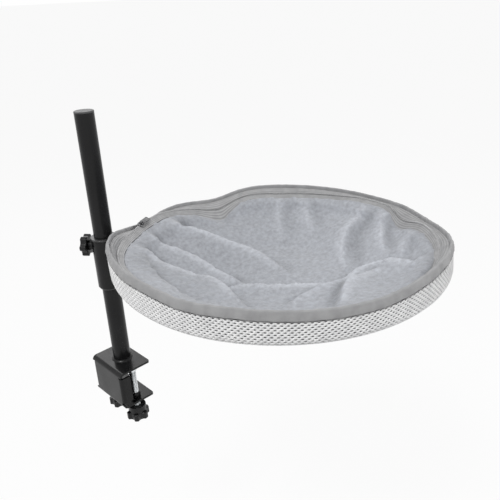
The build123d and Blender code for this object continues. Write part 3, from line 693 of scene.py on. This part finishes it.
# Where the slack zip hangs, by angle: the coil's radius and height, then the inner tape's edge's
zip_places = (
    (-180, 191, 195, 184, 189), (-172, 196, 194, 188, 189), (-164, 198, 193, 190, 189),
    (-154, 197, 193, 190, 190), (-144, 194, 194, 188, 192), (-126, 191, 195, 186, 193),
    (-108, 189, 195, 183, 192), (-70, 189, 194, 182, 190), (-54, 189, 192, 182, 186),
    (-44, 189, 188, 182, 182), (-36, 186.5, 181, 179.5, 184), (-24, 185, 178, 177, 184),
    (-12, 186.5, 181, 178, 182), (-4, 188, 187, 181, 181), (14, 188, 188, 181, 179),
    (20, 188, 187, 181, 178), (25, 187, 184, 180, 174), (30, 185.5, 179, 178, 167),
    (35, 185.5, 178, 178, 167), (38.5, 187, 183, 180, 175), (43, 189, 189, 182, 185),
    (60, 189, 189, 182, 185), (67, 189, 187.5, 182, 182), (77, 189, 186.5, 182, 181),
    (98, 189, 186, 182, 180), (104, 189, 187.5, 182, 182.5), (111, 189, 187, 182, 181),
    (116, 188.5, 184, 181, 177), (121, 186, 179, 178, 167), (125.5, 184.5, 174, 172.5, 157),
    (131, 184.8, 176, 176.5, 162), (136, 186.5, 181, 180, 170), (141, 188, 185, 182, 176),
    (150, 189, 191, 183, 184), (157, 189.2, 195, 183, 189), (165, 189.2, 196.2, 182, 189),
    (172, 189.2, 196.2, 182, 190), (176, 189.4, 196, 182, 190),
)


def zip_line(column):
    """A line round the bed from two columns of the table, as radius and height at each rim angle."""
    return np.stack([round_bed(zip_places, rim_angle, zip_spread, column + k) for k in range(2)], axis=1)


def along_rim(line, angle):
    """Radius and height, at any angle, of a line that is known at each rim angle: straight runs between."""
    return [np.interp(angle, rim_angle, line[:, k], period=2 * pi) for k in range(2)]


def mark_painted_light(piece, values):
    """The piece keeps a number for painted light at each point of its mesh: 1 for a painted highlight on a
    crest, -1 for painted shade in a valley.
    """
    painted_light = piece.data.attributes.new("painted_light", "FLOAT", "POINT")
    painted_light.data.foreach_set("value", np.append(values, np.zeros(len(painted_light.data) - values.size)))


def paint_light_and_shade(tree, shader, dark, light):
    """Painted light and shade: the base colour is multiplied by dark in the valleys, as painted shade, and
    by light on the crests, as painted highlights.
    """
    marked = tree.nodes.new("ShaderNodeAttribute")
    marked.attribute_name = "painted_light"
    span = tree.nodes.new("ShaderNodeMapRange")
    span.inputs["From Min"].default_value = -1
    span.inputs["To Min"].default_value = dark
    span.inputs["To Max"].default_value = light
    shade = tree.nodes.new("ShaderNodeHueSaturation")
    tree.links.new(marked.outputs["Fac"], span.inputs["Value"])
    tree.links.new(span.outputs["Result"], shade.inputs["Value"])
    tree.links.new(shader.inputs["Base Color"].links[0].from_socket, shade.inputs["Color"])
    tree.links.new(shade.outputs["Color"], shader.inputs["Base Color"])


def tape(name, start, shoulder, end):
    """A ribbed strip between two lines round the bed, bent over a shoulder.

    Its middle is a quadratic curve: the start, twice the shoulder and the end, weighed by the
    squares and the product of the share across and its rest. Its ribs are a cosine of that share,
    and the grooves between them are marked for painted shade.
    """
    share = np.linspace(0, 1, tape_samples)[None, :, None]
    start, shoulder, end = start[:, None], shoulder[:, None], end[:, None]
    middle = start * (1 - share) ** 2 + shoulder * 2 * share * (1 - share) + end * share**2
    across = np.gradient(middle, axis=1)
    across = across / np.linalg.norm(across, axis=2)[..., None]
    upward = np.stack([across[..., 1], -across[..., 0]], axis=2)
    groove = np.cos(share * 2 * pi * tape_ribs)
    half = tape_thickness / 2 - tape_rib_height * (0.5 + 0.5 * groove)
    upper = middle + upward * half
    lower = (middle - upward * half)[:, ::-1]
    section = np.concatenate([upper, lower], axis=1)
    points = in_bed(section[..., 0], rim_angle[:, None], section[..., 1])
    piece = smooth_surface(name, points, closed_section=True)
    # Painted shade: -1 in the grooves between the ribs, 1 on the rib tops
    ribs = -groove[0, :, 0]
    mark_painted_light(piece, np.tile(np.concatenate([ribs, ribs[::-1]]), len(rim_angle)))
    return piece


outer_edge = np.stack(
    [seam_radius - binding_thickness - tape_inset + rim_bulge, rim_level - tape_drop + rim_lift], axis=1
)
coil_line = zip_line(1)
inner_edge = zip_line(3)
coil_step = inner_edge - coil_line
coil_step = coil_step / np.linalg.norm(coil_step, axis=1)[:, None] * coil_gap
outer_shoulder = np.stack([coil_line[:, 0] + shoulder_width, outer_edge[:, 1]], axis=1)
inner_shoulder = (coil_line + inner_edge) / 2
tape_outer = tape("zip_tape_outer_cloth", outer_edge, outer_shoulder, coil_line - coil_step)
tape_inner = tape("zip_tape_inner_cloth", coil_line + coil_step, inner_shoulder, inner_edge)
zip_cloth, tree, shader = finish("zip_cloth", (0.4, 0.4, 0.4), 0.8)
blend_colours(tree, shader, clouds(tree, 10 * mm, 4), (0.38, 0.38, 0.385), (0.46, 0.46, 0.465))
# Painted shade in the grooves between the tape's ribs
paint_light_and_shade(tree, shader, 0.66, 1.02)
ribbed = twill(tree, shader, 0.7 * mm, 0.0, 0.08 * mm)
raise_surface(tree, shader, clouds(tree, 2.0 * mm, 2), 0.08 * mm, ribbed)
shader.inputs["Sheen Weight"].default_value = 0.15
for piece, node in ((tape_outer, "zipper_tape_outer"), (tape_inner, "zipper_tape_inner")):
    piece.data.materials.append(zip_cloth)
    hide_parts(node)
    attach(piece, "bed")


def coil_spiral():
    """A round wire wound about the coil's line: a small circle carried along a long helix."""
    count = coil_turns * coil_steps
    angle = np.linspace(-pi, pi, count, endpoint=False)
    phase = np.arange(count) * 2 * pi / coil_steps
    ring, level = along_rim(coil_line, angle)
    sides = np.linspace(0, 2 * pi, wire_sides, endpoint=False)
    reach = coil_half + coil_wire * np.cos(sides)[None, :]
    slide = coil_wire * np.sin(sides)[None, :] / ring.mean()
    radius = ring[:, None] + reach * np.cos(phase)[:, None]
    height = level[:, None] + reach * np.sin(phase)[:, None]
    return in_bed(radius, angle[:, None] + slide, height)


coil = smooth_surface("zip_coil_spiral", coil_spiral(), closed_section=True)
coil_nylon, tree, shader = finish("coil_nylon", (0.6, 0.6, 0.605), 0.45)
blend_colours(tree, shader, clouds(tree, 6 * mm, 3), (0.56, 0.56, 0.565), (0.64, 0.64, 0.645))
raise_surface(tree, shader, clouds(tree, 0.4 * mm, 2), 0.02 * mm)
coil.data.materials.append(coil_nylon)
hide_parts("zipper_coil")
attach(coil, "bed")

# Slider and pull: cast zinc, the pull's cross bar turning under the slider's bridge. Their dull dark
# plate is unevenly rubbed brighter and smoother.
zip_metal, tree, shader = finish("zip_metal", (0.2, 0.2, 0.205), 0.35, 1.0)
blend_colours(tree, shader, clouds(tree, 2.5 * mm, 4), (0.13, 0.13, 0.135), (0.26, 0.26, 0.265))
vary_roughness(tree, shader, clouds(tree, 1.5 * mm, 4), 0.28, 0.5)
raise_surface(tree, shader, clouds(tree, 0.5 * mm, 3), 0.03 * mm)
dress(zip_metal, "zipper_slider", "zipper_pull")

# Plush liner: a thick soft bowl of short blue-grey pile, cut fuller than the hoop so that it lies
# in folds with one steep and one gentle side. Its edge is sewn to the zip's inner tape.
liner_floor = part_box("plush_floor")[0].z
liner_thickness = 11.0 * mm
hub_radius = 0.6 * mm
floor_radius = 88.0 * mm
slope_radius = 168.0 * mm
slope_level = 167.0 * mm
wall_foot = 160.0 * mm
wall_sag = 2.5 * mm
wall_power = 1.3
top_radius = 176.0 * mm
top_level = 189.0 * mm
soften = 2.5 * mm
liner_columns = 480
inner_rows = 150
inner_passes = 60

# Back of the liner, inside the hoop and over the hammock
back_radius = 184.8 * mm
back_round = 3.0 * mm
back_gap = 0.8 * mm
back_drop = 9.0 * mm
back_foot = 168.0 * mm
under_radius = 171.0 * mm
under_level = 155.5 * mm
under_floor_radius = 100.0 * mm
hoop_gap = 0.5 * mm
hoop_cover = 1.0 * mm
back_rows = 44
back_passes = 1

# Top edge of the liner, which laps over the tape in tufts
edge_inset = 0.9 * mm
edge_rise = 1.7 * mm
edge_overlap = 4.0 * mm
edge_hang = 4.0 * mm
edge_rows = 7
calm_share = 0.06
tuft_height = 1.2 * mm
tuft_waves = (29, 43, 67, 101)

# Lumps in the pile: height, size across and seed
pile_lumps = ((0.45 * mm, 16.0 * mm, 8), (0.22 * mm, 6.0 * mm, 9))

# Folds: points away from the pole and to the side of the bed's centre, then the steep side's and
# the gentle side's widths and the height, all in millimetres
folds = (
    (((-174, 66), (-156, 70), (-133, 72), (-110, 68), (-86, 64), (-62, 60), (-36, 44), (-8, 22)), 8, 54, 20),
    (((-180, 16), (-161, 13), (-144, 12), (-125, 8), (-103, 1), (-77, -14), (-46, -32)), 7, 48, 16),
    (((-182, -22), (-164, -26), (-150, -38), (-134, -50), (-115, -54), (-89, -64), (-62, -86), (-38, -112)),
     7, 58, 17),
    (((-176, -58), (-164, -76), (-148, -98), (-130, -119), (-114, -131), (-92, -141)), 9, 24, 8),
    (((-66, -60), (-40, -52), (15, -51), (56, -48), (76, -46), (86, -27), (98, -2), (118, 0), (135, 0),
      (148, -11), (161, -25), (174, -27)), 8, 62, 17),
    (((24, -100), (36, -86), (52, -66), (68, -58), (82, -44)), 6, 30, 7),
    (((78, -128), (84, -90), (92, -62), (104, -46), (118, -24)), 7, 60, 12),
    (((112, 150), (95, 126), (81, 109), (75, 76), (79, 28)), 10, 40, 10),
    (((133, 128), (130, 100), (127, 70), (130, 36)), 6, 34, 9),
    (((166, 62), (153, 42), (147, 20)), 7, 20, 6),
    (((-20, 180), (-18, 140), (-10, 110)), 8, 22, 5),
    (((16, 180), (24, 148), (34, 120)), 8, 22, 5),
)
fold_samples = 60
fold_passes = 14
fold_end_share = 0.02
swell_power = 0.35
slab_power = 1.2
ridge_round = 1.8 * mm
# Painted light: the width of the painted highlight on each crest, the place of the painted shade in its
# valley, and the fold height at which both are full
painted_crest_width = 4.0 * mm
painted_valley_place = 1.7
full_painted_light_height = 14
front_swell = 8.0 * mm
front_start = 30.0 * mm
front_reach = 70.0 * mm
# Painted light: how much lighter the plush is painted away from the pole, and over what distance
painted_far_light_share = 0.3
painted_far_light_reach = 90.0 * mm


def fold_shapes(away, aside):
    """Height of the folds over the bowl, and their painted light: highlights on the crests (1), shade in the
    valleys (-1).

    Each fold is a slab that rises to a crisp ridge: a power of one minus the distance over the width
    on its gentle side, rounded at the ridge, and a bell on its steep side. It fades in and out along
    the line by a power of the sine of the share travelled. At the front a smooth step lifts the whole
    plush. A bell paints a highlight on the crest, twice as wide on the gentle side, and another paints
    shade in the valley at the foot of the steep side. Painted light also makes the plush a little
    lighter away from the pole, by a hyperbolic tangent.
    """
    step = np.clip((-aside - front_start) / front_reach, 0, 1)
    total = front_swell * step * step * (3 - 2 * step)
    # Painted light: the plush is painted lighter away from the pole
    painted_light_level = painted_far_light_share * np.tanh(away / painted_far_light_reach)
    for points, steep, gentle, height in folds:
        line = rounded_line(np.array(points) * mm, fold_samples, fold_passes)
        heading = np.gradient(line, axis=0)
        heading /= np.linalg.norm(heading, axis=1)[:, None]
        nearest = np.zeros(away.shape, int)
        distance = np.full(away.shape, np.inf)
        for number, (x, y) in enumerate(line):
            here = (away - x) ** 2 + (aside - y) ** 2
            closer = here < distance
            distance[closer] = here[closer]
            nearest[closer] = number
        spot, way = line[nearest], heading[nearest]
        left = way[..., 0] * (aside - spot[..., 1]) - way[..., 1] * (away - spot[..., 0])
        distance = np.sqrt(distance)
        travelled = nearest / (len(line) - 1)
        swell = np.sin(pi * np.clip(travelled, fold_end_share, 1 - fold_end_share)) ** swell_power
        rounded = np.sqrt(distance**2 + ridge_round**2) - ridge_round
        slab = np.clip(1 - rounded / (gentle * mm), 0, 1) ** slab_power
        fall = distance / (steep * mm)
        total += swell * height * mm * np.where(left > 0, np.exp(-(fall**2)), slab)
        # Painted highlight along the crest and painted shade in the valley at the foot of the steep side
        strength = swell * min(height / full_painted_light_height, 1)
        painted_light_level += strength * np.exp(-((distance / (painted_crest_width * (1 + (left < 0)))) ** 2))
        painted_light_level -= strength * np.where(left > 0, np.exp(-((fall - painted_valley_place) ** 2)), 0)
    return total, np.clip(painted_light_level, -1, 1)


def pile(away, aside, size, seed):
    """Uneven pile: the sum of twelve sine waves that cross at random, over the root of their number.

    Each wave goes 0.7 to 1.4 times through a full turn in the size given.
    """
    waves = 12
    draw = np.random.default_rng(seed)
    total = 0
    for turn in draw.uniform(0, 2 * pi, waves):
        wave = draw.uniform(0.7, 1.4) * 2 * pi / size
        total = total + np.sin(wave * (away * np.cos(turn) + aside * np.sin(turn)) + draw.uniform(0, 6))
    return total / waves**0.5


def past_cap(level, cap):
    """How far a soft minimum lowers a level that comes near a cap.

    It is the softening length times the logarithm of one plus e to the excess over that length.
    """
    return soften * np.logaddexp(0, (level - cap) / soften)


def plush_bowl():
    """The liner's skin, a half section carried round the bed, and its painted highlights on the crests and
    painted shade in the valleys.

    The section goes from the floor's middle up the slope and the wall to the zip's inner tape, and
    down its back to the middle again. The wall is drawn out to the tape by a power of its share of
    the height. A soft minimum keeps the edge near the tape's height, and the positive part of a sum
    of sine waves lifts it in tufts. The folds and the lumps stand along the section's normal.
    """
    angle = np.linspace(-pi, pi, liner_columns, endpoint=False)[:, None]
    edge_radius, edge_level = along_rim(inner_edge, angle)
    cap = edge_level + edge_rise + tuft_height * np.maximum(ripple(angle, tuft_waves, seed=11), 0)
    floor_top = liner_floor + liner_thickness
    inner = rounded_line(
        [
            (hub_radius, floor_top),
            (floor_radius, floor_top),
            (slope_radius, slope_level),
            (top_radius, top_level),
        ],
        inner_rows,
        inner_passes,
    )
    back = rounded_line(
        [
            (top_radius, top_level),
            (back_radius - back_round, top_level - back_round),
            (back_radius - back_gap, top_level - back_drop),
            (back_radius - back_gap, back_foot),
            (under_radius, under_level),
            (under_floor_radius, liner_floor),
            (hub_radius, liner_floor),
        ],
        back_rows,
        back_passes,
    )
    slant = np.gradient(inner, axis=0)
    slant /= np.linalg.norm(slant, axis=1)[:, None]
    radius = inner[:, 0] + 0 * angle
    away = radius * np.cos(angle)
    aside = radius * np.sin(angle)
    calm = np.clip(np.linspace(1, 0, inner_rows) / calm_share, 0, 1)
    height, painted_light = fold_shapes(away, aside)
    height = height * calm
    for lump_height, lump_size, lump_seed in pile_lumps:
        height = height + lump_height * pile(away, aside, lump_size, lump_seed)
    wall_share = np.clip((inner[:, 1] - wall_foot) / (top_level - wall_foot), 0, 1) ** wall_power
    level = inner[:, 1] + wall_share * np.maximum(cap - top_level, 0)
    level = level - past_cap(level, cap)
    reach = edge_radius - edge_inset - top_radius
    sag = wall_sag * np.sin(pi * wall_share) * calm
    inner_radius = radius + wall_share * reach - height * slant[:, 1] - sag
    inner_level = level + height * slant[:, 0]

    near_edge = np.clip(1 - np.arange(back_rows) / edge_rows, 0, 1)
    back_level = back[:, 1] + near_edge * np.maximum(cap - top_level, 0)
    back_level = back_level - past_cap(back_level, cap - (1 - near_edge) * edge_hang)
    back_reach = back[:, 0] + near_edge * reach
    inside_hoop = np.minimum(back_reach, back_radius - hoop_gap)
    back_reach = np.where(back_level < hoop_high.z + hoop_cover, inside_hoop, back_reach)
    back_reach = np.minimum(back_reach, edge_radius + edge_overlap)
    section_radius = np.hstack([inner_radius, back_reach[:, 1:]])
    section_level = np.hstack([inner_level, back_level[:, 1:]])
    painted_light = np.hstack([painted_light * calm, np.zeros((liner_columns, back_rows - 1))])
    return in_bed(section_radius, angle, section_level), painted_light


liner_skin, liner_painted_light = plush_bowl()
plush = smooth_surface("plush_liner_bowl", liner_skin, capped=True)
mark_painted_light(plush, liner_painted_light.ravel())
plush_pile, tree, shader = finish("plush_pile", (0.44, 0.46, 0.5), 0.95)
blend_colours(
    tree, shader, clouds(tree, 5 * mm, 6), (0.385, 0.395, 0.425), (0.50, 0.52, 0.56), 0.32, 0.68
)
# Painted highlights on the fold crests, painted shade in their valleys, and the plush painted lighter away
# from the pole
paint_light_and_shade(tree, shader, 0.56, 1.26)
tufts = raise_surface(tree, shader, clouds(tree, 1.6 * mm, 5), 0.9 * mm)
raise_surface(tree, shader, clouds(tree, 7 * mm, 3), 0.9 * mm, tufts)
shader.inputs["Sheen Weight"].default_value = 0.35
shader.inputs["Sheen Roughness"].default_value = 0.45
shader.inputs["Specular IOR Level"].default_value = 0.15
plush.data.materials.append(plush_pile)
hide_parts("plush_floor", "plush_slope", "plush_side")
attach(plush, "bed")

# Hammock: the same white mesh cloth as the band, sewn to its curled edge and drawn tight under the
# liner, so that it takes the bowl's shape.
hammock_thickness = 1.2 * mm
hammock_rows = 90
hammock_columns = 300
hammock_passes = 5
hammock_level = liner_floor - 2.6 * mm
hammock_slope_radius = 173.0 * mm
hammock_slope_level = 152.4 * mm
hem_radius = 188.8 * mm
hem_width = 2.4 * mm
hem_foot_drop = 0.2 * mm
hem_top_rise = 1.0 * mm
mesh_hole_pitch = 4.2 * mm

# Where the zip hangs low the cloth hangs lower: how far below the tape, and out to what radius
dip_clearance = 10.0 * mm
dip_end = 186.0 * mm
dip_fade = 7.0 * mm

hammock_outer = rounded_line(
    [
        (hub_radius, hammock_level),
        (under_floor_radius, hammock_level),
        (hammock_slope_radius, hammock_slope_level),
        (hem_radius - hem_width, band_base - hem_foot_drop),
        (hem_radius, band_base + hem_top_rise),
    ],
    hammock_rows,
    hammock_passes,
)
hammock_slant = np.gradient(hammock_outer, axis=0)
hammock_slant /= np.linalg.norm(hammock_slant, axis=1)[:, None]
hammock_upward = np.stack([-hammock_slant[:, 1], hammock_slant[:, 0]], axis=1)
hammock_inner = hammock_outer + hammock_upward * hammock_thickness
hammock_section = np.concatenate([hammock_inner, hammock_outer[::-1]])
hammock_radius = hammock_section[:, 0]
hammock_angle = np.linspace(-pi, pi, hammock_columns, endpoint=False)[:, None]
hammock_cap = along_rim(inner_edge, hammock_angle)[1] - dip_clearance
hammock_dip = past_cap(hammock_section[:, 1], hammock_cap)
hammock_dip = hammock_dip * np.clip((dip_end - hammock_radius) / dip_fade, 0, 1)
hammock_points = in_bed(hammock_radius, hammock_angle, hammock_section[:, 1] - hammock_dip)
hammock = smooth_surface("hammock_cloth", hammock_points, capped=True)
hammock_mesh, tree, shader = finish("hammock_mesh", (0.8, 0.8, 0.8), 0.8)
holes = tree.nodes.new("ShaderNodeTexVoronoi")
holes.voronoi_dimensions = "2D"
holes.inputs["Scale"].default_value = 1 / mesh_hole_pitch
holes.inputs["Randomness"].default_value = 0.12
source = tree.nodes.new("ShaderNodeTexCoord")
tree.links.new(source.outputs["Object"], holes.inputs["Vector"])
blend_colours(tree, shader, holes.outputs["Distance"], (0.3, 0.3, 0.31), (0.82, 0.82, 0.82), 0.22, 0.42)
raise_surface(tree, shader, holes.outputs["Distance"], 0.6 * mm)
hammock.data.materials.append(hammock_mesh)
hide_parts("hammock_bottom")
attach(hammock, "bed")
